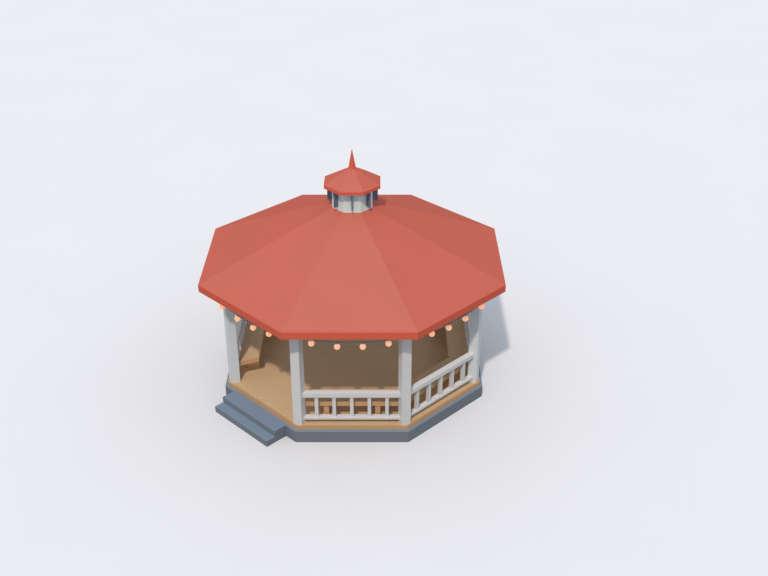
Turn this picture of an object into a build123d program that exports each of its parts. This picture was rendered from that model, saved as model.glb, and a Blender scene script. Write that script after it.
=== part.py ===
"""Park gazebo: an eight-sided open pavilion on a stone plinth, with a timber deck, eight posts,
balustrades and benches, a red pitched roof, a small lantern on top and a string of lights.

Millimetres, +Z up. The origin is on the ground at the centre of the plinth.
The flat sides face X, Y and the diagonals, and the entrance is the side at -135 degrees.
"""

import math
import os

from build123d import *

os.makedirs("parts", exist_ok=True)

# Driving dimensions of the plan, measured from the centre out along the corners of the outline
sides = 8
entrance_angle = -135
deck_radius = 3480
plinth_ledge = 72
post_setback = 184
eave_overhang = 704

# Base and floor
plinth_height = 324
plinth_chamfer = 10
deck_thickness = 106
edge_board_thickness = 45
board_joint = 2

# Entrance steps, out from the face of the plinth, the upper one level with its top
step_width = 2020
lower_tread = 254
upper_tread = 353
lower_riser = 162

# Posts and the ring of beams on them
post_width = 235
post_chamfer = 8
beam_width = 120
beam_depth = 200

# Balustrade, with heights above the deck
top_rail_height = 877
top_rail_width = 155
top_rail_depth = 110
bottom_rail_gap = 122
bottom_rail_width = 139
bottom_rail_depth = 56
baluster_width = 84
baluster_count = 5
baluster_fit = 0.3

# Benches, with heights above the deck
seat_height = 522
seat_thickness = 130
seat_post_gap = 5
seat_depth = 510
seat_joint = 6
leg_width = 124
leg_distance = 1240
leg_setback = 50

# Main roof
eave_height = 3365
fascia_depth = 182
fascia_thickness = 40
roof_pitch = 24
roof_thickness = 45
rafter_depth = 120
hip_rafter_width = 80
common_rafter_width = 60

# Lantern on the roof
drum_reach = 492
drum_height = 591
drum_wall = 40
crown_wall = 80
crown_depth = 170
fin_projection = 127
fin_thickness = 28
fin_foot_gap = 102
cap_overhang = 190
cap_fascia_depth = 80
cap_fascia_thickness = 30
cap_pitch = 30
cap_thickness = 40
finial_radius = 92
finial_height = 478
finial_tip_radius = 6
finial_seat_margin = 4

# String of lights
light_setback = 200
light_drop = 26.5
cable_diameter = 38
sag = 275
bend_share = 0.45
globe_diameter = 150
globe_sides = 10
neck_diameter = 34
neck_length = 5
neck_gap = 0.3
hook_rod = 10
hook_sides = 6
hook_clearance = 3
light_box_angle = 112.5
light_box_width = 80
light_box_depth = 90
light_box_height = 120
gland_diameter = 54
gland_reach = 45

# Worked out from the driving dimensions
upper_riser = plinth_height - lower_riser
plinth_radius = deck_radius + plinth_ledge
post_circle_radius = deck_radius - post_setback
eave_radius = post_circle_radius + eave_overhang
light_circle_radius = eave_radius - light_setback
half_bay = math.radians(180 / sides)
corner_turn = 180 / sides
bay_turn = 360 / sides
side_directions = [entrance_angle + bay_turn * step for step in range(sides)]
railed_directions = side_directions[1:]
corner_directions = [direction + corner_turn for direction in side_directions]
deck_top = plinth_height + deck_thickness
post_line = post_circle_radius * math.cos(half_bay)
post_spacing = 2 * post_circle_radius * math.sin(half_bay)
eave_reach = eave_radius * math.cos(half_bay)
roof_edge_reach = eave_reach - fascia_thickness
pitch_slope = math.tan(math.radians(roof_pitch))
roof_drop = roof_thickness / math.cos(math.radians(roof_pitch))
rafter_drop = rafter_depth / math.cos(math.radians(roof_pitch))


def roof_top(reach):
    """Height of the roof's upper surface, at this distance out along the middle of a side."""
    return eave_height + (eave_reach - reach) * pitch_slope


def roof_underside(reach):
    """Height of the underside of the roof panels."""
    return roof_top(reach) - roof_drop


def rafter_underside(reach):
    """Height of the lower edge of the rafters."""
    return roof_underside(reach) - rafter_drop


beam_top = rafter_underside(post_line)
crown_top = roof_underside(drum_reach)
drum_top = crown_top + drum_height
cap_eave_height = drum_top + cap_fascia_depth
under_roof_height = roof_underside(roof_edge_reach)
light_reach = light_circle_radius * math.cos(half_bay)
light_height = rafter_underside(light_reach) - light_drop


def upright(direction):
    """Upright plane through the centre: its x runs outwards along direction, its y is height."""
    out = math.radians(direction)
    return Plane(
        origin=(0, 0, 0),
        x_dir=(math.cos(out), math.sin(out), 0),
        z_dir=(math.sin(out), -math.cos(out), 0),
    )


def level(direction, height, reach=0):
    """Level plane at a height, its x outwards along direction, its origin out at a distance."""
    out = math.radians(direction)
    return Plane(
        origin=(reach * math.cos(out), reach * math.sin(out), height),
        x_dir=(math.cos(out), math.sin(out), 0),
        z_dir=(0, 0, 1),
    )


def bay_outline(joint=0):
    """Triangle from the centre that covers one bay, held back from each corner line by half a joint."""
    start = joint / 2 / math.sin(half_bay)
    reach = eave_radius * 2
    spread = (reach - start) * math.tan(half_bay)
    return [(start, 0), (reach, spread), (reach, -spread)]


def side_piece(direction, section, joint=0):
    """One side of the eight: a section in the upright plane, run along the side and mitred."""
    with BuildPart() as piece:
        with BuildSketch(upright(direction)):
            with BuildLine():
                Polyline(*section, close=True)
            make_face()
        extrude(amount=eave_radius, both=True)
        with BuildSketch(level(direction, 0)):
            with BuildLine():
                Polyline(*bay_outline(joint), close=True)
            make_face()
        extrude(amount=2 * cap_eave_height, mode=Mode.INTERSECT)
    return piece.part


def ring_of(piece):
    """The same piece on every side of the eight."""
    with BuildPart() as ring:
        with PolarLocations(0, sides):
            add(piece)
    return ring.part


def save(part, name):
    """Label a finished piece and write its file."""
    part.label = name
    export_step(part, f"parts/{name}.step")


def rectangle_section(inner, outer, bottom, top):
    """Upright rectangular section between two distances out and two heights."""
    return [(inner, bottom), (outer, bottom), (outer, top), (inner, top)]


def octagon(reach):
    """Eight-sided outline in the open sketch, its flat sides at this distance out."""
    return RegularPolygon(reach, sides, major_radius=False, rotation=corner_turn)


# Stone plinth
plinth_reach = plinth_radius * math.cos(half_bay)
with BuildPart() as plinth:
    with BuildSketch(Plane.XY):
        octagon(plinth_reach)
    extrude(amount=plinth_height)
    chamfer(plinth.edges().group_by(Axis.Z)[-1], plinth_chamfer)
save(plinth.part, "plinth")

# Entrance steps, each a solid block against the plinth
lower_reach = upper_tread + lower_tread
with BuildPart() as step_lower:
    with BuildSketch(level(entrance_angle, 0, plinth_reach + lower_reach / 2)):
        Rectangle(lower_reach, step_width)
    extrude(amount=lower_riser)
save(step_lower.part, "step_lower")

with BuildPart() as step_upper:
    with BuildSketch(level(entrance_angle, lower_riser, plinth_reach + upper_tread / 2)):
        Rectangle(upper_tread, step_width)
    extrude(amount=upper_riser)
save(step_upper.part, "step_upper")

# Deck floor inside its ring of edge boards
deck_reach = deck_radius * math.cos(half_bay)
floor_reach = deck_reach - edge_board_thickness
with BuildPart() as deck_floor:
    with BuildSketch(Plane.XY.offset(plinth_height)):
        octagon(floor_reach)
    extrude(amount=deck_thickness)
save(deck_floor.part, "deck_floor")

edge_board = side_piece(
    0, rectangle_section(floor_reach, deck_reach, plinth_height, deck_top), board_joint
)
save(ring_of(edge_board), "deck_edge")


def post(direction):
    """Square post on a corner line, its faces turned to look straight out."""
    with BuildPart() as shaft:
        with BuildSketch(level(direction, deck_top, post_circle_radius)):
            Rectangle(post_width, post_width)
        extrude(amount=beam_top - deck_top)
        chamfer(shaft.edges().filter_by(Axis.Z), post_chamfer)
    return shaft.part


for number, direction in enumerate(corner_directions, start=1):
    save(post(direction), f"post_{number}")


def end_posts(direction, bottom):
    """Sketch planes for the two posts that end a run along this side."""
    return [
        level(direction + corner_turn, bottom, post_circle_radius),
        level(direction - corner_turn, bottom, post_circle_radius),
    ]


def railing(direction):
    """Balustrade of one bay: two rails cut flat to the post faces, and square balusters between."""
    bottom_rail_top = deck_top + bottom_rail_gap + bottom_rail_depth
    top_rail_top = deck_top + top_rail_height
    top_rail_bottom = top_rail_top - top_rail_depth
    with BuildPart() as panel:
        with BuildSketch(upright(direction)):
            with Locations((post_line, bottom_rail_top - bottom_rail_depth / 2)):
                Rectangle(bottom_rail_width, bottom_rail_depth)
            with Locations((post_line, top_rail_top - top_rail_depth / 2)):
                Rectangle(top_rail_width, top_rail_depth)
        extrude(amount=post_spacing / 2, both=True)
        for plane in end_posts(direction, deck_top):
            with BuildSketch(plane):
                Rectangle(2 * post_width, post_width)
        extrude(amount=beam_top - deck_top, mode=Mode.SUBTRACT)
        with BuildSketch(level(direction, bottom_rail_top + baluster_fit, post_line)):
            with GridLocations(0, post_spacing / (baluster_count + 1), 1, baluster_count):
                Rectangle(baluster_width, baluster_width)
        extrude(amount=top_rail_bottom - bottom_rail_top - 2 * baluster_fit)
    return panel.part


for number, direction in enumerate(railed_directions, start=1):
    save(railing(direction), f"railing_{number}")

# Bench seats round the inside, mitred at the corners and open at the entrance
seat_top = deck_top + seat_height
seat_bottom = seat_top - seat_thickness
seat_outer_reach = (post_circle_radius - post_width / 2 - seat_post_gap) * math.cos(half_bay)
seat_inner_reach = seat_outer_reach - seat_depth
seat_section = rectangle_section(seat_inner_reach, seat_outer_reach, seat_bottom, seat_top)
with BuildPart() as bench_seats:
    for direction in railed_directions:
        add(side_piece(direction, seat_section, seat_joint))
save(bench_seats.part, "bench_seats")

# Bench legs, two slabs under each seat
seat_middle = seat_outer_reach - seat_depth / 2
with BuildPart() as bench_legs:
    for direction in railed_directions:
        with BuildSketch(level(direction, deck_top, seat_middle)):
            with GridLocations(0, leg_distance, 1, 2):
                Rectangle(seat_depth - 2 * leg_setback, leg_width)
    extrude(amount=seat_bottom - deck_top)
save(bench_legs.part, "bench_legs")

# Header beams let in between the post heads
beam_bottom = beam_top - beam_depth
with BuildPart() as header_beam:
    with BuildSketch(level(0, beam_bottom, post_line)):
        Rectangle(beam_width, post_spacing)
    extrude(amount=beam_depth)
    for plane in end_posts(0, beam_bottom):
        with BuildSketch(plane):
            Rectangle(post_width, post_width)
    extrude(amount=beam_depth, mode=Mode.SUBTRACT)
save(ring_of(header_beam.part), "header_beams")

# Crown ring that the rafters lean on, and the drum of the lantern on top of it
with BuildPart() as crown_ring:
    with BuildSketch(Plane.XY.offset(crown_top - crown_depth)):
        octagon(drum_reach)
        offset(amount=-crown_wall, kind=Kind.INTERSECTION, mode=Mode.SUBTRACT)
    extrude(amount=crown_depth)
save(crown_ring.part, "crown_ring")

with BuildPart() as cupola_drum:
    with BuildSketch(Plane.XY.offset(crown_top)):
        octagon(drum_reach)
        offset(amount=-drum_wall, kind=Kind.INTERSECTION, mode=Mode.SUBTRACT)
    extrude(amount=drum_top - crown_top)
save(cupola_drum.part, "cupola_drum")


def rafter(direction, width):
    """Rafter from the crown ring to the fascia, its top backed to the roof and its foot notched."""
    lowest = rafter_underside(eave_reach)
    with BuildPart() as timber:
        with BuildSketch(Plane.XY.offset(lowest)):
            octagon(roof_edge_reach)
        extrude(amount=under_roof_height - lowest)
        with BuildSketch(Plane.XY.offset(under_roof_height)):
            octagon(roof_edge_reach)
        extrude(amount=crown_top - under_roof_height, taper=90 - roof_pitch)
        turn = math.radians((direction + corner_turn) % bay_turn - corner_turn)
        side_reach = math.cos(turn)
        with BuildSketch(upright(direction)):
            with BuildLine():
                Polyline(
                    (0, rafter_underside(0)),
                    (0, crown_top + rafter_depth),
                    (eave_radius, crown_top + rafter_depth),
                    (eave_radius, rafter_underside(eave_radius * side_reach)),
                    close=True,
                )
            make_face()
        extrude(amount=width / 2, both=True, mode=Mode.INTERSECT)
        with BuildSketch(Plane.XY.offset(lowest)):
            octagon(drum_reach)
        extrude(amount=crown_top, mode=Mode.SUBTRACT)
        with BuildSketch(level(corner_turn, lowest, post_circle_radius)):
            Rectangle(post_width, post_width)
        extrude(amount=beam_top - lowest, mode=Mode.SUBTRACT)
        with BuildSketch(level(0, lowest, post_line)):
            Rectangle(beam_width, post_spacing)
        extrude(amount=beam_top - lowest, mode=Mode.SUBTRACT)
    return timber.part


save(ring_of(rafter(corner_turn, hip_rafter_width)), "hip_rafters")
save(ring_of(rafter(0, common_rafter_width)), "common_rafters")

# Roof panels, mitred along the hips
panel_section = [
    (drum_reach, roof_underside(drum_reach)),
    (roof_edge_reach, roof_underside(roof_edge_reach)),
    (roof_edge_reach, roof_top(roof_edge_reach)),
    (drum_reach, roof_top(drum_reach)),
]
for number, direction in enumerate(side_directions, start=1):
    save(side_piece(direction, panel_section), f"roof_panel_{number}")

# Fascia boards, their top edge bevelled to the roof
fascia_section = [
    (roof_edge_reach, eave_height - fascia_depth),
    (eave_reach, eave_height - fascia_depth),
    (eave_reach, eave_height),
    (roof_edge_reach, roof_top(roof_edge_reach)),
]
save(ring_of(side_piece(0, fascia_section, board_joint)), "fascia")

# Upright fins on the faces of the drum, their level feet clear of the roof
fin_foot = roof_top(drum_reach) + fin_foot_gap
with BuildPart() as fin:
    with BuildSketch(level(0, fin_foot, drum_reach + fin_projection / 2)):
        Rectangle(fin_projection, fin_thickness)
    extrude(amount=drum_top - fin_foot)
save(ring_of(fin.part), "cupola_fins")

# Cap of the lantern, hollow above a level soffit
cap_slope = math.tan(math.radians(cap_pitch))
cap_drop = cap_thickness / math.cos(math.radians(cap_pitch))
cap_reach = drum_reach + cap_overhang
cap_edge_reach = cap_reach - cap_fascia_thickness
cap_edge_height = cap_eave_height + cap_fascia_thickness * cap_slope
cap_top_reach = finial_radius + finial_seat_margin
cap_top = cap_eave_height + (cap_reach - cap_top_reach) * cap_slope
hollow_reach = drum_reach - drum_wall
hollow_shoulder = cap_eave_height + (cap_reach - hollow_reach) * cap_slope - cap_drop
hollow_top = cap_top - cap_drop
with BuildPart() as cupola_roof:
    with BuildSketch(Plane.XY.offset(drum_top)):
        octagon(cap_edge_reach)
    extrude(amount=cap_edge_height - drum_top)
    with BuildSketch(Plane.XY.offset(cap_edge_height)):
        octagon(cap_edge_reach)
    extrude(amount=cap_top - cap_edge_height, taper=90 - cap_pitch)
    with BuildSketch(Plane.XY.offset(drum_top)):
        octagon(hollow_reach)
    extrude(amount=hollow_shoulder - drum_top, mode=Mode.SUBTRACT)
    with BuildSketch(Plane.XY.offset(hollow_shoulder)):
        octagon(hollow_reach)
    extrude(amount=hollow_top - hollow_shoulder, taper=90 - cap_pitch, mode=Mode.SUBTRACT)
save(cupola_roof.part, "cupola_roof")

cap_fascia_section = [
    (cap_edge_reach, drum_top),
    (cap_reach, drum_top),
    (cap_reach, cap_eave_height),
    (cap_edge_reach, cap_edge_height),
]
save(ring_of(side_piece(0, cap_fascia_section, board_joint)), "cupola_fascia")

# Finial, a slender cone
with BuildPart() as finial:
    with BuildSketch(Plane.XZ):
        with BuildLine():
            Polyline(
                (0, cap_top),
                (finial_radius, cap_top),
                (finial_tip_radius, cap_top + finial_height),
                (0, cap_top + finial_height),
                close=True,
            )
        make_face()
    revolve(axis=Axis.Z)
save(finial.part, "finial")

# String of lights: the route of one swag, as shares of the side's length and of the sag.
swag_route = [(0, 0), (0.1, 0.4), (0.3, 0.88), (0.5, 1.04), (0.7, 0.88), (0.9, 0.4)]
bulb_places = [(0.2, 0.64), (0.4, 0.96), (0.6, 0.96), (0.8, 0.64)]
swag_length = 2 * light_circle_radius * math.sin(half_bay)


def swag_point(direction, share, drop):
    """Point on the swag of one side: share of the way along it, and drop as a share of the sag."""
    out = math.radians(direction)
    along = (share - 0.5) * swag_length
    return Vector(
        light_reach * math.cos(out) - along * math.sin(out),
        light_reach * math.sin(out) + along * math.cos(out),
        light_height - drop * sag,
    )


light_route = []
for step in range(sides):
    swag_direction = light_box_angle + corner_turn + step * bay_turn
    for share, drop in swag_route:
        light_route.append(swag_point(swag_direction, share, drop))

# Both ends of the string stop short of the back corner, at the glands of the light box.
box_side = light_box_width / 2 + gland_reach
end_share = box_side / math.cos(half_bay) / swag_length
end_drop = end_share / swag_route[1][0] * swag_route[1][1]
first_direction = light_box_angle + corner_turn
last_direction = light_box_angle - corner_turn
light_route[0] = swag_point(first_direction, end_share, end_drop)
light_route.append(swag_point(last_direction, 1 - end_share, end_drop))


def arc_radii(points):
    """Radius at each inner point, so that its arc takes the same share of the shorter run."""
    radii = []
    for before, here, after in zip(points, points[1:], points[2:]):
        run_in = here - before
        run_out = after - here
        half_turn = math.radians(run_in.get_angle(run_out)) / 2
        radii.append(bend_share * min(run_in.length, run_out.length) / math.tan(half_turn))
    return radii


light_radii = arc_radii(light_route)
print("cable arc radii:", [round(radius) for radius in light_radii])
with BuildPart() as light_cable:
    with BuildLine() as cable_path:
        FilletPolyline(*light_route, radius=light_radii)
    path = cable_path.wires()[0]
    with BuildSketch(Plane(origin=path @ 0, z_dir=path % 0)):
        Circle(cable_diameter / 2)
    sweep()
save(light_cable.part, "light_cable")
cable_volume = path.length * math.pi * (cable_diameter / 2) ** 2
print("cable length", round(path.length), "volume ratio", light_cable.part.volume / cable_volume)

# Light globes, ten-sided, each with a neck that saddles the underside of the cable
globe_radius = globe_diameter / 2
globe_bands = (15, 45, 75)
globe_rings = []
for angle in globe_bands:
    ring_radius = globe_radius * math.sin(math.radians(angle))
    ring_height = globe_radius * math.cos(math.radians(angle))
    globe_rings.append((ring_radius, ring_height))
with BuildPart() as globe:
    with BuildSketch(Plane.XY):
        RegularPolygon(globe_rings[-1][0], globe_sides)
    extrude(amount=globe_rings[-1][1])
    for (upper_radius, upper_height), (lower_radius, lower_height) in zip(globe_rings, globe_rings[1:]):
        rise = upper_height - lower_height
        inset = (lower_radius - upper_radius) * math.cos(math.radians(180 / globe_sides))
        with BuildSketch(Plane.XY.offset(lower_height)):
            RegularPolygon(lower_radius, globe_sides)
        extrude(amount=rise, taper=math.degrees(math.atan(inset / rise)))
    mirror(about=Plane.XY)
globe_top = globe_rings[0][1]
globe_hang = cable_diameter / 2 + neck_length + globe_top


def swag_bulbs(direction):
    """The four lights of one side, under the straight middles of the cable's runs."""
    with BuildPart() as lights:
        for share, drop in bulb_places:
            hung = swag_point(direction, share, drop)
            with Locations(hung - Vector(0, 0, globe_hang)):
                add(globe.part)
            with BuildSketch(Plane(origin=hung - Vector(0, 0, globe_hang - globe_top))):
                Circle(neck_diameter / 2)
            extrude(amount=globe_hang - globe_top)
        for before, after in zip(swag_route[1:], swag_route[2:]):
            start = swag_point(direction, *before)
            end = swag_point(direction, *after)
            with BuildSketch(Plane(origin=start, z_dir=end - start)):
                Circle(cable_diameter / 2 + neck_gap)
            extrude(amount=(end - start).length, mode=Mode.SUBTRACT)
    return lights.part


save(ring_of(swag_bulbs(0)), "light_bulbs")

# Hooks under the corner rafters, and the box that both ends of the string go into
corner_run = swag_length * swag_route[1][0]
corner_drop = sag * swag_route[1][1]
corner_step = math.hypot(corner_run, corner_drop)
corner_half_turn = math.acos(corner_run * math.cos(half_bay) / corner_step)
corner_radius = bend_share * corner_step / math.tan(corner_half_turn)
corner_cut = corner_radius * (1 / math.cos(corner_half_turn) - 1)
cut_length = math.hypot(corner_run * math.sin(half_bay), corner_drop)
hook_reach = light_circle_radius - corner_cut * corner_run * math.sin(half_bay) / cut_length
hook_height = light_height - corner_cut * corner_drop / cut_length
hook_radius = (cable_diameter + hook_rod) / 2 + hook_clearance
stem_reach = hook_reach - hook_radius
stem_top = rafter_underside((stem_reach + hook_rod / 2) * math.cos(half_bay))
with BuildPart() as hook:
    with BuildLine(upright(0)):
        Line((stem_reach, stem_top), (stem_reach, hook_height))
        CenterArc((hook_reach, hook_height), hook_radius, 180, 180)
    with BuildSketch(Plane(origin=(stem_reach, 0, stem_top), z_dir=(0, 0, -1))):
        RegularPolygon(hook_rod / 2, hook_sides)
    sweep()
with BuildPart() as light_hooks:
    for direction in corner_directions:
        if abs((direction - light_box_angle) % 360) > 1:
            with Locations(Location((0, 0, 0), (0, 0, direction))):
                add(hook.part)
save(light_hooks.part, "light_hooks")

box_reach = light_circle_radius - box_side * math.tan(half_bay)
box_top = rafter_underside((box_reach + light_box_depth / 2) * math.cos(half_bay))
first_run = (light_route[1] - light_route[0]).normalized()
last_run = (light_route[-2] - light_route[-1]).normalized()
with BuildPart() as light_box:
    with BuildSketch(level(light_box_angle, box_top, box_reach)):
        Rectangle(light_box_depth, light_box_width)
    extrude(amount=-light_box_height)
    for end, away in ((light_route[0], first_run), (light_route[-1], last_run)):
        with BuildSketch(Plane(origin=end, z_dir=away)):
            Circle(gland_diameter / 2)
        extrude(amount=-2 * gland_reach)
save(light_box.part, "light_box")
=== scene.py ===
# %% [markdown]
# # A park gazebo in Blender
#
# The imported CAD model is the fixed frame of this scene: every timber, panel and rail already stands
# where it belongs. This lesson adds what CAD leaves out, which is the camera, the hanging string of
# lights, small fittings, and a finish for every surface. The frame is loaded first.

import math

import bmesh
import bpy
from mathutils import Matrix, Vector
from mathutils.geometry import intersect_point_line


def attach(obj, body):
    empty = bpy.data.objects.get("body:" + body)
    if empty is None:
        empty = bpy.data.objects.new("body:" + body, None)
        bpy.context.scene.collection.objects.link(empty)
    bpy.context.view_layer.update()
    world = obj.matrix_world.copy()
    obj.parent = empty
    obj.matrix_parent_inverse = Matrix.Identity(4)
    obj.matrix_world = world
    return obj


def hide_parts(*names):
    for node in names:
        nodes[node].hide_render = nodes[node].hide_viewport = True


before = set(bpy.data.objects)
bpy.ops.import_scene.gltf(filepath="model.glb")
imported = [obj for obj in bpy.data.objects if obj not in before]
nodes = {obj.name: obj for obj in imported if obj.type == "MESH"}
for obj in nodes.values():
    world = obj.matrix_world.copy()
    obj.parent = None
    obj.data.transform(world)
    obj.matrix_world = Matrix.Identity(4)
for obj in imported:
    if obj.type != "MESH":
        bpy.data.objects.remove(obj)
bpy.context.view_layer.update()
bpy.ops.object.select_all(action="DESELECT")
scene = bpy.context.scene
print("nodes in the frame:", len(nodes))

# %% [markdown]
# ## Camera
#
# The picture looks down on the gazebo from the front, from about 16 m up. A 50 mm lens on a 36 mm
# sensor gives the same calm view, in which things narrow only slightly with distance. The camera
# looks straight along +Y and is tipped down, so the posts in the middle stay upright in the frame.

# %% Place the camera
camera_data = bpy.data.cameras.new("camera")
camera_data.lens = 50
camera_data.sensor_width = 36
camera_data.clip_end = 400
camera = bpy.data.objects.new("camera", camera_data)
camera.location = (0.770, -23.862, 15.893)
camera.rotation_euler = (math.radians(60.55), 0, 0)
scene.collection.objects.link(camera)
scene.camera = camera
print("camera height:", round(camera.location.z, 2), "m")

# %% [markdown]
# ## The string of lights
#
# One cable goes all the way round under the eave. It hangs in a swag along each of the eight sides,
# goes over a hook at seven corners, and both of its ends go into a small box at the back corner. It
# could be a chain of cylinders, but it would kink at every joint. A smooth curve needs only points,
# which pull the line into shape like weights on a thread. Each pair below gives a point's share of
# the way along a side, and its share of the sag.

# %% Work out the route of the cable
side_count = 8
bay_turn = math.radians(360 / side_count)
half_bay = bay_turn / 2
light_circle_radius = 3.8
light_height = 3.24015
sag = 0.275
cable_diameter = 0.038
box_angle = math.radians(112.5)
end_setback = 0.085
light_reach = light_circle_radius * math.cos(half_bay)
swag_length = 2 * light_circle_radius * math.sin(half_bay)
swag_route = [(0, 0), (0.1, 0.4), (0.3, 0.88), (0.5, 1.04), (0.7, 0.88), (0.9, 0.4)]
bulb_places = [(0.2, 0.64), (0.4, 0.96), (0.6, 0.96), (0.8, 0.64)]


def swag_point(direction, share, drop):
    """Point on one side's swag: share of the way along it, and drop as a share of the sag."""
    along = (share - 0.5) * swag_length
    return Vector((
        light_reach * math.cos(direction) - along * math.sin(direction),
        light_reach * math.sin(direction) + along * math.cos(direction),
        light_height - drop * sag,
    ))


swag_directions = [box_angle + half_bay + side * bay_turn for side in range(side_count)]
cable_route = [
    swag_point(direction, share, drop) for direction in swag_directions for share, drop in swag_route
]
first_share, first_drop = swag_route[1]
end_share = end_setback / math.cos(half_bay) / swag_length
end_drop = end_share / first_share * first_drop
cable_route[0] = swag_point(swag_directions[0], end_share, end_drop)
cable_route.append(swag_point(swag_directions[-1], 1 - end_share, end_drop))
print("points on the cable's route:", len(cable_route))

# %% [markdown]
# A smooth curve passes near the points that pull it, and not through them. So it is read back as a
# bare line, before it gets any thickness, to find where the lights hang. Its thickness comes after
# that, as a round bevel along the whole curve.

# %% Draw the cable as a smooth curve
cable_curve = bpy.data.curves.new("light_string", "CURVE")
cable_curve.dimensions = "3D"
cable_curve.resolution_u = 10
cable_spline = cable_curve.splines.new("NURBS")
cable_spline.points.add(len(cable_route) - 1)
for point, place in zip(cable_spline.points, cable_route):
    point.co = (*place, 1)
    point.radius = cable_diameter / 2
cable_spline.order_u = 3
cable_spline.use_endpoint_u = True
cable = bpy.data.objects.new("light_string", cable_curve)
scene.collection.objects.link(cable)
cable_line = bpy.data.meshes.new_from_object(cable)
line_points = [vertex.co.copy() for vertex in cable_line.vertices]
bpy.data.meshes.remove(cable_line)
print("points read from the smooth line:", len(line_points))

# %% Give the line its thickness, from the radius at its points
cable_curve.bevel_depth = 1
cable_curve.bevel_resolution = 3
cable_curve.use_fill_caps = True
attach(cable, "root")
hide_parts("light_cable")
print("cable spans:", len(cable_route) - 1)

# %% [markdown]
# Each light hangs from a little holder that sits on the cable. It could be spun from a drawn outline,
# but a cylinder is nearly there already. Its foot is drawn out into a flared lip, its top is drawn in
# and up into a stub that comes out just above the cable, and one bevel softens the rings. The middle
# of the cable is at the origin.

# %% Edit a piece by its faces, and apply its modifiers
def edit_faces(piece, chosen):
    """Open a piece in edit mode, with only those faces selected that chosen says yes to."""
    bpy.context.view_layer.objects.active = piece
    bpy.ops.object.mode_set(mode="EDIT")
    bpy.ops.mesh.select_mode(type="FACE")
    mesh = bmesh.from_edit_mesh(piece.data)
    for face in mesh.faces:
        face.select = False
    for face in mesh.faces:
        face.select = chosen(face)
    mesh.select_flush_mode()
    bmesh.update_edit_mesh(piece.data)


def draw_out(distance, scale=1.0):
    """Extrude the selected faces along z, and scale the new end across."""
    bpy.ops.mesh.extrude_region_move(TRANSFORM_OT_translate={"value": (0, 0, distance)})
    bpy.ops.transform.resize(value=(scale, scale, 1))


def apply_modifiers(piece):
    """Apply a piece's modifiers, top one first."""
    bpy.ops.object.select_all(action="DESELECT")
    piece.select_set(True)
    bpy.context.view_layer.objects.active = piece
    for modifier in list(piece.modifiers):
        bpy.ops.object.modifier_apply(modifier=modifier.name)


print("editing helpers ready")

# %% Model one lamp holder at the origin
holder_faces = 12
holder_radius = 0.0215
body_depth = 0.017
lip_depth = 0.004
lip_flare = 1.14
shoulder = 0.002
stub_height = 0.022
stub_taper = 0.9
soft_edge = 0.0006
nearly_level = 0.9
bpy.ops.object.select_all(action="DESELECT")
bpy.ops.mesh.primitive_cylinder_add(
    vertices=holder_faces, radius=holder_radius, depth=body_depth, location=(0, 0, -body_depth / 2)
)
holder = bpy.context.object
holder.name = "lamp_holder"
bpy.ops.object.transform_apply(location=True, rotation=False, scale=False)
edit_faces(holder, lambda face: face.normal.z < -nearly_level)
draw_out(-lip_depth, lip_flare)
draw_out(-lip_depth)
bpy.ops.object.mode_set(mode="OBJECT")
edit_faces(holder, lambda face: face.normal.z > nearly_level)
bpy.ops.mesh.inset(thickness=shoulder)
draw_out(stub_height, stub_taper)
bpy.ops.object.mode_set(mode="OBJECT")
holder_bevel = holder.modifiers.new("softened_rings", "BEVEL")
holder_bevel.width = soft_edge
holder_bevel.segments = 1
holder_bevel.limit_method = "ANGLE"
holder_bevel.angle_limit = math.radians(50)
apply_modifiers(holder)
print("faces of one holder:", len(holder.data.polygons))

# %% [markdown]
# The finished holder is copied, with its own mesh each time, to the four lights of each side. A
# modifier could space the copies evenly along the whole curve, but the lights keep their places in
# each swag. So each copy goes to the point of the smooth line that is nearest to its light.

# %% Copy the holder to every light and join the copies
def on_the_line(place):
    """Point of the cable's smooth line nearest to a place."""
    nearest = []
    for start, end in zip(line_points, line_points[1:]):
        share = intersect_point_line(place, start, end)[1]
        nearest.append(start.lerp(end, min(max(share, 0), 1)))
    return min(nearest, key=lambda point: (point - place).length)


holder_copies = []
for direction in swag_directions:
    for share, drop in bulb_places:
        copy = bpy.data.objects.new("lamp_holder_copy", holder.data.copy())
        scene.collection.objects.link(copy)
        hung_at = on_the_line(swag_point(direction, share, drop))
        copy.data.transform(Matrix.Translation(hung_at) @ Matrix.Rotation(direction, 4, "Z"))
        holder_copies.append(copy)
bpy.data.objects.remove(holder)
bpy.ops.object.select_all(action="DESELECT")
for copy in holder_copies:
    copy.select_set(True)
bpy.context.view_layer.objects.active = holder_copies[0]
bpy.ops.object.join()
lamp_holders = bpy.context.object
lamp_holders.name = "lamp_holders"
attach(lamp_holders, "root")
print("lamp holders:", len(holder_copies), "faces:", len(lamp_holders.data.polygons))

# %% [markdown]
# ## Helpers for the finishes
#
# A finish is a small network of nodes, and much of it repeats from one finish to the next. It could
# be wired up by hand each time, but a few helpers keep each one short. The first makes a node, and
# sets or links its sockets by name. The second does one sum.

# %% Make nodes and sums
def add_node(tree, kind, sockets=None, **settings):
    """A node with its settings, and with each named socket set to a value or linked to an output."""
    made = tree.nodes.new(kind)
    for name, value in settings.items():
        setattr(made, name, value)
    for name, value in (sockets or {}).items():
        if isinstance(value, bpy.types.NodeSocket):
            tree.links.new(value, made.inputs[name])
        else:
            made.inputs[name].default_value = value
    return made


def calculate(tree, operation, *values):
    """The result of one sum on values or outputs."""
    sockets = dict(enumerate(values))
    return add_node(tree, "ShaderNodeMath", sockets, operation=operation).outputs[0]


print("node helpers ready")

# %% [markdown]
# The next helpers stand for the nodes that are used most: a share that grows over a range, one axis
# of a place, and a mix of two values or two colours.

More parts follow.
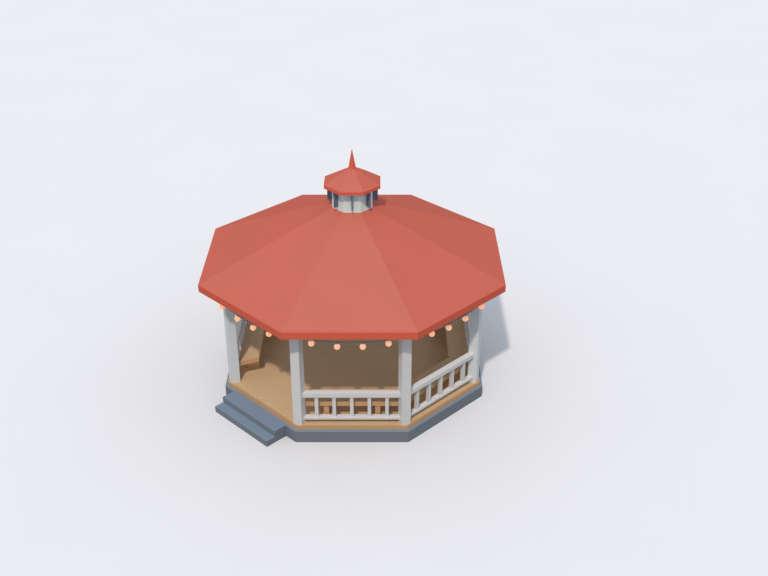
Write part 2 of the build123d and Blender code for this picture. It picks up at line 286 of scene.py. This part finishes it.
# %% Grow a share, take an axis and mix
def ramp(tree, value, start, end, low=0, high=1):
    """A share that goes from low to high as a value goes from start to end."""
    limits = {"Value": value, "From Min": start, "From Max": end, "To Min": low, "To Max": high}
    return add_node(tree, "ShaderNodeMapRange", limits).outputs[0]


def along_axis(tree, vector, number):
    """One part of a place or a direction: 0 for x, 1 for y and 2 for z."""
    return add_node(tree, "ShaderNodeSeparateXYZ", {"Vector": vector}).outputs[number]


def blend_values(tree, share, first, second):
    """Mix of two values by a share from 0 to 1, which is a plain number."""
    less = calculate(tree, "MULTIPLY", first, 1 - share)
    more = calculate(tree, "MULTIPLY", second, share)
    return calculate(tree, "ADD", less, more)


def blend_colours(tree, share, first, second, blend_type="MIX"):
    """Mix of two colours by a share from 0 to 1."""
    mix = add_node(tree, "ShaderNodeMix", data_type="RGBA", blend_type=blend_type)
    for name, value in (("Factor_Float", share), ("A_Color", first), ("B_Color", second)):
        socket = next(socket for socket in mix.inputs if socket.identifier == name)
        if isinstance(value, bpy.types.NodeSocket):
            tree.links.new(value, socket)
        else:
            socket.default_value = value
    return next(socket for socket in mix.outputs if socket.identifier == "Result_Color")


def tint(colour, factor):
    """A colour made lighter or darker."""
    return (*(min(channel * factor, 1) for channel in colour[:3]), 1)


print("mixing helpers ready")

# %% [markdown]
# Every finish starts in the same way, with a material, its principled shader and a place to read
# patterns from. A picture of paint or wood would need unwrapping and would blur close up, so noise
# makes the patterns. They all read Object coordinates, so they are the real size on every piece and
# never slide.

# %% Start a finish, and lay patterns and relief on it
def object_place(tree):
    """Object coordinates, in metres from the middle of the gazebo."""
    return add_node(tree, "ShaderNodeTexCoord").outputs["Object"]


def new_finish(name, **sockets):
    """A material with its shader set up, and its Object coordinates."""
    material = bpy.data.materials.new(name)
    material.use_nodes = True
    tree = material.node_tree
    shader = tree.nodes["Principled BSDF"]
    for socket, value in sockets.items():
        shader.inputs[socket.replace("_", " ")].default_value = value
    return material, tree, shader, object_place(tree)


def noise(tree, vector, scale, detail=2.0, roughness=0.5):
    """A cloud of values about 0.5, scale of them to the metre."""
    sockets = {"Vector": vector, "Scale": scale, "Detail": detail, "Roughness": roughness}
    return add_node(tree, "ShaderNodeTexNoise", sockets).outputs[0]


def stretch(tree, vector, scale):
    """The same place, measured in other units along each axis."""
    return add_node(tree, "ShaderNodeMapping", {"Vector": vector, "Scale": scale}).outputs[0]


def bump(tree, shader, height, distance, strength=0.5):
    """Relief of this many metres on the shader."""
    sockets = {"Height": height, "Distance": distance, "Strength": strength}
    tree.links.new(add_node(tree, "ShaderNodeBump", sockets).outputs[0], shader.inputs["Normal"])


print("finish helpers ready")

# %% [markdown]
# Some tones follow the way a face points. Several of them are painted light: what faces up, and the
# roof slopes turned to the sun, are made paler, as the light and sheen they catch would make them.
# Each face could be given a material of its own, but its normal already tells the way it points, so
# these tones follow the normal. The direction of the sun is set here too, and the lamp uses it later.

# %% Pick out faces by the way they point
sun_height = math.radians(52)
to_sun = Vector((-0.21 * math.cos(sun_height), -0.978 * math.cos(sun_height), math.sin(sun_height)))
rounding_slack = 0.001


def face_normal(tree):
    """The way a face points."""
    return add_node(tree, "ShaderNodeNewGeometry").outputs["Normal"]


def facing(tree, lowest=0.7, highest=1.0):
    """1 on faces whose normal's upright part lies between two limits, as set on those that face up."""
    upright = along_axis(tree, face_normal(tree), 2)
    middle = (lowest + highest) / 2
    reach = (highest - lowest) / 2
    away = calculate(tree, "ABSOLUTE", calculate(tree, "SUBTRACT", upright, middle))
    return calculate(tree, "LESS_THAN", away, reach + rounding_slack)


def towards_sun(tree, lowest, highest):
    """A share from 0 to 1 that grows as a face turns towards the sun."""
    sockets = {0: face_normal(tree), 1: to_sun}
    turned = add_node(tree, "ShaderNodeVectorMath", sockets, operation="DOT_PRODUCT")
    return ramp(tree, turned.outputs["Value"], lowest, highest)


print("height of the sun:", round(math.degrees(sun_height)), "degrees")

# %% [markdown]
# Timber and paint on this gazebo turn with its eight sides: a rail, a bench plank and a roof board
# each run along their own side. That could take eight copies of each material, but turning the
# coordinates takes only one. The helper finds the nearest side from the angle about the centre, and
# turns the place back by that angle, so that x then points outwards, y runs along the side and z is
# up. A second helper numbers the boards of a floor or a ceiling by the distance across them.

# %% Follow the nearest side, and number boards
def side_place(tree, place):
    """Place turned so that x is outwards, y along the nearest side and z up."""
    angle = calculate(tree, "ARCTAN2", along_axis(tree, place, 1), along_axis(tree, place, 0))
    side = calculate(tree, "ROUND", calculate(tree, "DIVIDE", angle, bay_turn))
    sockets = {"Vector": place, "Angle": calculate(tree, "MULTIPLY", side, -bay_turn)}
    return add_node(tree, "ShaderNodeVectorRotate", sockets, rotation_type="Z_AXIS").outputs[0]


def boards_across(tree, across, width, gap):
    """A share of its own for each board, and a mask that is 1 in the joints between them."""
    number = calculate(tree, "FLOOR", calculate(tree, "DIVIDE", across, width))
    own = add_node(tree, "ShaderNodeTexWhiteNoise", {"W": number}, noise_dimensions="1D").outputs[0]
    from_joint = calculate(tree, "PINGPONG", across, width / 2)
    return own, calculate(tree, "LESS_THAN", from_joint, gap / 2)


print("sides to follow:", side_count)

# %% [markdown]
# ## Red roof paint
#
# The roof is a matt paint on boards, a duller red on the slopes and a deeper one on the upright
# fascia. One flat red would look like plastic on such big panels. So slow clouds of tone drift over
# them, faint streaks run down the slope where rain has, and a fine orange-peel relief catches the
# light close up. The slopes turned most to the sun also get a painted sheen, which comes further down.

# %% Mix the roof paint
roof_red = (0.532, 0.131, 0.094, 1)
fascia_red = (0.64, 0.12, 0.071, 1)


def red_paint(name, colour, roughness, streaks):
    """Matt paint on boards, with slow clouds of tone and streaks down the slope."""
    material, tree, shader, place = new_finish(name, Roughness=roughness, Specular_IOR_Level=0)
    downhill = stretch(tree, side_place(tree, place), (0.5, 9, 0.5))
    clouds = noise(tree, place, scale=0.9, detail=3)
    rain = ramp(tree, noise(tree, downhill, scale=1.6, detail=3), 0, 1, high=streaks)
    tone = blend_colours(tree, clouds, tint(colour, 0.965), tint(colour, 1.035))
    wear_and_painted_light = blend_colours(tree, rain, tone, tint(colour, 0.8))
    tree.links.new(wear_and_painted_light, shader.inputs["Base Color"])
    sheen = noise(tree, place, scale=6, detail=3)
    satin = ramp(tree, sheen, 0, 1, roughness - 0.06, roughness + 0.06)
    tree.links.new(satin, shader.inputs["Roughness"])
    bump(tree, shader, noise(tree, place, scale=160), distance=0.0006)
    return material


roof_finish = red_paint("roof_paint", roof_red, roughness=0.75, streaks=0.10)
fascia_finish = red_paint("fascia_paint", fascia_red, roughness=0.7, streaks=0.06)
print("roof and fascia paint mixed")

# %% [markdown]
# From below, the roof shows the bare boards that the paint is on. They lie tight together, so they
# need no shape of their own, and colour is enough. They run along each side, so the distance out
# from the centre numbers them, and a thin dark line falls at each joint.

# %% Colour the bare boards under the roof
ceiling_wood = (0.76, 0.50, 0.275, 1)
ceiling_board = 0.13
ceiling_gap = 0.004


def ceiling_boards(tree):
    """Colour of bare boards laid along each side, by the distance out."""
    turned = side_place(tree, object_place(tree))
    own, joint = boards_across(tree, along_axis(tree, turned, 0), ceiling_board, ceiling_gap)
    grain = noise(tree, stretch(tree, turned, (22, 1.1, 22)), scale=2.5, detail=5, roughness=0.6)
    tone = blend_colours(tree, grain, tint(ceiling_wood, 0.86), tint(ceiling_wood, 1.12))
    tone = blend_colours(tree, ramp(tree, own, 0, 1, high=0.12), tone, tint(ceiling_wood, 0.55))
    shade = calculate(tree, "MULTIPLY", joint, 0.7)
    return blend_colours(tree, shade, tone, tint(ceiling_wood, 0.25))


print("ceiling boards:", round(ceiling_board * 1000), "mm wide")

# %% [markdown]
# The slopes that face the sun most get a painted sheen: a paler, whiter tone that stands for the
# sheen they catch from it. The roof's colour carries on over the bevelled top edge of the fascia.
# These are laid over the mixed paint, each by a share that says where it shows, and so are the bare
# boards. Everywhere else the mixed paint stays as it is.

# %% Lay the painted sheen and the bare boards over the paint
painted_sun_sheen = (0.985, 1.138, 1.162, 1)


def recolour(material, share, colour, blend_type="MIX"):
    """Lay a colour over a finish, by a share from 0 to 1."""
    tree = material.node_tree
    base = tree.nodes["Principled BSDF"].inputs["Base Color"]
    under = base.links[0].from_socket
    tree.links.new(blend_colours(tree, share, under, colour, blend_type), base)


def finish_nodes(names, material):
    """Give a finish to CAD nodes, in every material slot they have."""
    for name in names:
        piece = nodes[name]
        if not piece.material_slots:
            piece.data.materials.append(material)
        for material_slot in piece.material_slots:
            material_slot.material = material
    print(material.name, "on", len(names), "nodes")


roof_tree = roof_finish.node_tree
fascia_tree = fascia_finish.node_tree
# Painted sheen: roof slopes turned to the sun are made paler and whiter.
recolour(roof_finish, towards_sun(roof_tree, 0.90, 0.965), painted_sun_sheen, "MULTIPLY")
recolour(roof_finish, facing(roof_tree, lowest=-1.0, highest=-0.5), ceiling_boards(roof_tree))
recolour(fascia_finish, facing(fascia_tree, lowest=0.5), roof_red)
roof_panels = [name for name in nodes if name.startswith("roof_panel")]
finish_nodes(roof_panels + ["cupola_roof"], roof_finish)
finish_nodes(["fascia", "cupola_fascia", "finial"], fascia_finish)

# %% [markdown]
# ## White painted timber
#
# Posts, rails, balusters, beams and the lantern's drum are timber under white gloss that has gone
# matt. A pure white would lose its shading in the sun, so the paint is mixed well below that. Brush
# marks run up the posts, so the relief is stretched along z. What faces up is made the palest, which
# is painted light for the light that falls on it, and a little grey gathers low down, near the deck,
# where feet and rain leave it.

# %% Mix the white paint
white = (0.642, 0.638, 0.622, 1)
white_top_painted_light = (1.135, 1.185, 1.24, 1)
grime_grey = (0.42, 0.38, 0.32, 1)
deck_height = 0.43
grime_height = 0.75


def white_paint(name, colour):
    """White paint gone matt, with brush marks that run upright, grime low down and painted light on
    top.
    """
    material, tree, shader, place = new_finish(name, Roughness=0.55, Specular_IOR_Level=0.3)
    clouds = noise(tree, place, scale=2.2, detail=3)
    tone = blend_colours(tree, clouds, tint(colour, 0.965), tint(colour, 1.02))
    low_down = ramp(tree, along_axis(tree, place, 2), deck_height, grime_height, low=0.18, high=0)
    grime = calculate(tree, "MULTIPLY", low_down, noise(tree, place, scale=9, detail=4))
    grimy = blend_colours(tree, grime, tone, grime_grey)
    # Painted light: faces that look up are made paler, for the light that falls on them.
    white_with_painted_top = blend_colours(tree, facing(tree), grimy, white_top_painted_light, "MULTIPLY")
    tree.links.new(white_with_painted_top, shader.inputs["Base Color"])
    brush_marks = noise(tree, stretch(tree, place, (60, 60, 4)), scale=3, detail=3)
    bump(tree, shader, brush_marks, distance=0.0008, strength=0.15)
    return material


print("white paint ready to be mixed")

# %% [markdown]
# The whites are not quite the same all over, and the differences are painted light. The posts out at
# the two sides get a cooler, lighter white, which cancels the warm light that the deck sends onto
# them more than onto the front ones. The drum's white is greener, which cancels the red light that
# the roof sends onto it. The top band of the drum, where the shadow of its eave falls, has a painted
# shade: a cooler tint that stands for that shadow.

# %% Paint the posts, the railings and the drum
# Painted light: the side posts' white is cooler and lighter, against the deck's warm light.
side_post_painted_light_white = (0.664, 0.708, 0.722, 1)
# Painted light: the drum's white is greener, against the roof's red light.
drum_painted_light_white = (0.65, 0.75, 0.72, 1)
# Painted shade: a cooler tint on the drum's top band, where the eave's shadow falls.
drum_painted_shade = (0.87, 1.02, 1.14, 1)
painted_shade_start = 5.10
painted_shade_full = 5.13


def out_to_the_side(name):
    """Whether a post stands further out along x than along y."""
    corners = [nodes[name].matrix_world @ Vector(corner) for corner in nodes[name].bound_box]
    middle = sum(corners, Vector()) / len(corners)
    return abs(middle.x) > abs(middle.y)


drum_finish = white_paint("drum_paint", drum_painted_light_white)
drum_tree = drum_finish.node_tree
height_on_drum = along_axis(drum_tree, object_place(drum_tree), 2)
in_painted_shade = ramp(drum_tree, height_on_drum, painted_shade_start, painted_shade_full)
# Painted shade: the drum's top band takes the cooler tint of the eave's shadow.
recolour(drum_finish, in_painted_shade, drum_painted_shade, "MULTIPLY")
posts = [name for name in nodes if name.startswith("post_")]
side_posts = [name for name in posts if out_to_the_side(name)]
railings = [name for name in nodes if name.startswith("railing")]
finish_nodes(posts + railings + ["header_beams"], white_paint("white_paint", white))
finish_nodes(side_posts, white_paint("side_post_paint", side_post_painted_light_white))
finish_nodes(["cupola_drum"], drum_finish)

# %% [markdown]
# ## Timber
#
# The deck is boards laid across the gazebo, each with a tone of its own and thin dark joints between
# them. Grain could be drawn line by line, but noise stretched along the board already looks like it.
# The benches, the edge boards and the rafters are planks that follow their own side, so their grain
# uses the turned coordinates. On top, the seats are made as pale as the deck, which is painted light
# for the light that falls on them there.

# %% Mix the timber
board_width = 0.142
board_gap = 0.0032
no_painted_top_light = (1, 1, 1, 1)


def timber(name, colour, laid_across=False, painted_top_light=no_painted_top_light):
    """Oiled timber with grain along the piece, and joints where it is boards laid across."""
    material, tree, shader, place = new_finish(name, Roughness=0.62)
    along = place if laid_across else side_place(tree, place)
    squeeze = (1.1, 22, 22) if laid_across else (22, 1.1, 22)
    wide_squeeze = [value * 0.3 for value in squeeze]
    fine = noise(tree, stretch(tree, along, squeeze), scale=2.5, detail=5, roughness=0.6)
    broad = noise(tree, stretch(tree, along, wide_squeeze), scale=1.5, detail=3)
    grain = blend_values(tree, 0.6, broad, fine)
    tone = blend_colours(tree, grain, tint(colour, 0.86), tint(colour, 1.14))
    relief = grain
    if laid_across:
        own, joint = boards_across(tree, along_axis(tree, place, 1), board_width, board_gap)
        tone = blend_colours(tree, ramp(tree, own, 0, 1, high=0.06), tone, tint(colour, 0.55))
        tone = blend_colours(tree, calculate(tree, "MULTIPLY", joint, 0.45), tone, tint(colour, 0.2))
        relief = calculate(tree, "SUBTRACT", calculate(tree, "MULTIPLY", grain, 0.3), joint)
    # Painted light: faces that look up take the given top tint, which only the seats have.
    wear_and_painted_light = blend_colours(tree, facing(tree), tone, painted_top_light, "MULTIPLY")
    tree.links.new(wear_and_painted_light, shader.inputs["Base Color"])
    bump(tree, shader, relief, distance=0.0015)
    return material


print("deck boards:", round(board_width * 1000), "mm wide")

# %% Finish the deck, the benches and the rafters
deck_wood = (0.62, 0.43, 0.25, 1)
edge_wood = (0.50, 0.296, 0.141, 1)
bench_wood = (0.56, 0.332, 0.158, 1)
rafter_wood = (0.50, 0.33, 0.19, 1)
# Painted light: the seats' tops are made as pale as the deck.
seat_painted_top_light = (1.107, 1.295, 1.58, 1)
finish_nodes(["deck_floor"], timber("deck_boards", deck_wood, laid_across=True))
finish_nodes(["deck_edge"], timber("edge_boards", edge_wood))
finish_nodes(["bench_seats", "bench_legs"], timber("bench_timber", bench_wood, painted_top_light=seat_painted_top_light))
finish_nodes(["hip_rafters", "common_rafters", "crown_ring"], timber("rafter_timber", rafter_wood))

# %% [markdown]
# ## Stone
#
# The plinth and the two steps are a slate-grey masonry. One noise alone looks like smoke, so three
# sizes of cloud make it: patches a pace wide, mottling the size of a hand, and grains of sand. What
# faces up is made paler and bluer, which is painted light for the light that falls on the treads.

# %% Make the stone finish
stone = (0.154, 0.178, 0.21, 1)
stone_painted_top_light = (1.17, 1.37, 1.575, 1)
stone_finish, tree, shader, place = new_finish("stone", Roughness=0.85)
patches = noise(tree, place, scale=0.8)
mottling = noise(tree, place, scale=7, detail=4, roughness=0.6)
sand = noise(tree, place, scale=120)
tone = blend_colours(tree, patches, tint(stone, 0.94), tint(stone, 1.06))
tone = blend_colours(tree, ramp(tree, mottling, 0, 1, high=0.3), tone, tint(stone, 0.75))
tone = blend_colours(tree, ramp(tree, sand, 0, 1, high=0.3), tone, tint(stone, 1.35))
# Painted light: faces that look up are made paler and bluer.
tone = blend_colours(tree, facing(tree), tone, stone_painted_top_light, "MULTIPLY")
tree.links.new(tone, shader.inputs["Base Color"])
rough_height = calculate(tree, "ADD", calculate(tree, "MULTIPLY", sand, 0.35), mottling)
bump(tree, shader, rough_height, distance=0.003)
finish_nodes(["plinth", "step_lower", "step_upper"], stone_finish)

# %% [markdown]
# ## Dark blue fins, dark metal and rubber
#
# The lantern's fins have a dark blue satin paint. The hooks and the box are near black. The cable and
# the lamp holders on it are rubber with a very fine grain, grey with dust. They differ only in
# colour, gloss and grain, so one helper makes all three.

# %% Make the dark finishes
fin_blue = (0.12, 0.148, 0.192)
near_black = (0.05, 0.05, 0.055)
dusty_rubber = (0.27, 0.275, 0.295)


def dark_finish(name, colour, roughness, grains, relief):
    """A dark surface with a little dust in its tone, and this many grains to the metre."""
    material, tree, shader, place = new_finish(name, Roughness=roughness, Specular_IOR_Level=0.25)
    dust = noise(tree, place, scale=5, detail=4)
    tone = blend_colours(tree, dust, tint(colour, 0.85), tint(colour, 1.2))
    tree.links.new(tone, shader.inputs["Base Color"])
    bump(tree, shader, noise(tree, place, scale=grains), distance=relief)
    return material


fin_finish = dark_finish("fin_paint", fin_blue, roughness=0.6, grains=140, relief=0.0006)
metal_finish = dark_finish("dark_metal", near_black, roughness=0.4, grains=200, relief=0.0004)
rubber_finish = dark_finish("cable_rubber", dusty_rubber, roughness=0.6, grains=260, relief=0.0004)
finish_nodes(["cupola_fins"], fin_finish)
finish_nodes(["light_hooks", "light_box"], metal_finish)
cable_curve.materials.append(rubber_finish)
lamp_holders.data.materials.append(rubber_finish)

# %% [markdown]
# ## Lit globes
#
# The globes are opal and switched on, in daylight. A lamp in each would make 32 lamps to render, so
# their own surface glows instead. It is a warm peach, a little uneven, as opal plastic is, and it
# still takes some shading from the sun.

# %% Make the globe finish
deep_opal = (0.34, 0.15, 0.09, 1)
pale_opal = (0.40, 0.20, 0.12, 1)
deep_glow = (0.86, 0.40, 0.22, 1)
pale_glow = (0.93, 0.48, 0.29, 1)
globe_finish, tree, shader, place = new_finish("warm_globe", Roughness=0.4, Emission_Strength=0.85)
clouds = noise(tree, place, scale=14)
opal = blend_colours(tree, clouds, deep_opal, pale_opal)
tree.links.new(opal, shader.inputs["Base Color"])
glow = blend_colours(tree, clouds, deep_glow, pale_glow)
tree.links.new(glow, shader.inputs["Emission Color"])
finish_nodes(["light_bulbs"], globe_finish)

# %% [markdown]
# ## Floor and light
#
# A plain pale floor carries the shadow. A floor that is pale in every way would light the roof from
# below, and wash out the shade under it. So it is pale to the camera and to reflections, but sends
# only a little light back up.

# %% Lay the floor
floor_size = 240
floor_grey = (0.74, 0.745, 0.76, 1)
floor_pale = (0.77, 0.775, 0.79, 1)
floor_bounce = (0.22, 0.223, 0.232, 1)


def seen_directly(tree):
    """1 for what the camera or a reflection sees, and 0 for light that falls on other things."""
    ray = add_node(tree, "ShaderNodeLightPath").outputs
    return calculate(tree, "MAXIMUM", ray["Is Camera Ray"], ray["Is Glossy Ray"])


bpy.ops.object.select_all(action="DESELECT")
bpy.ops.mesh.primitive_plane_add(size=floor_size, location=(0, 0, 0))
floor = bpy.context.object
floor.name = "floor"
floor_finish, tree, shader, place = new_finish("floor", Roughness=0.95, Specular_IOR_Level=0)
pale = blend_colours(tree, noise(tree, place, scale=0.25), floor_grey, floor_pale)
floor_colour = blend_colours(tree, seen_directly(tree), floor_bounce, pale)
tree.links.new(floor_colour, shader.inputs["Base Color"])
floor.data.materials.append(floor_finish)
print("floor laid")

# %% [markdown]
# A sun lamp, softened a little at the edges of its shadows, comes from the front left. The sky works
# as the floor does: a pale backdrop to look at, and an even, cooler light that fills the shade.

# %% Hang the sun
sun_data = bpy.data.lights.new("sun", "SUN")
sun_data.energy = 1.9
sun_data.color = (1, 0.89, 0.80)
sun_data.angle = math.radians(2.5)
sun = bpy.data.objects.new("sun", sun_data)
sun.rotation_euler = to_sun.to_track_quat("Z", "Y").to_euler()
scene.collection.objects.link(sun)
print("sun energy:", round(sun_data.energy, 2))

# %% Spread the sky
sky_fill = (0.635, 0.697, 0.782, 1)
backdrop = (0.80, 0.81, 0.83, 1)
world = bpy.data.worlds.new("world")
scene.world = world
world.use_nodes = True
tree = world.node_tree
sky = tree.nodes["Background"]
tree.links.new(blend_colours(tree, seen_directly(tree), sky_fill, backdrop), sky.inputs["Color"])
scene.view_settings.view_transform = "Standard"
print("view transform:", scene.view_settings.view_transform)

# %% [markdown]
# ## The end
#
# The last cell marks the end of the scene.


print("scene done")
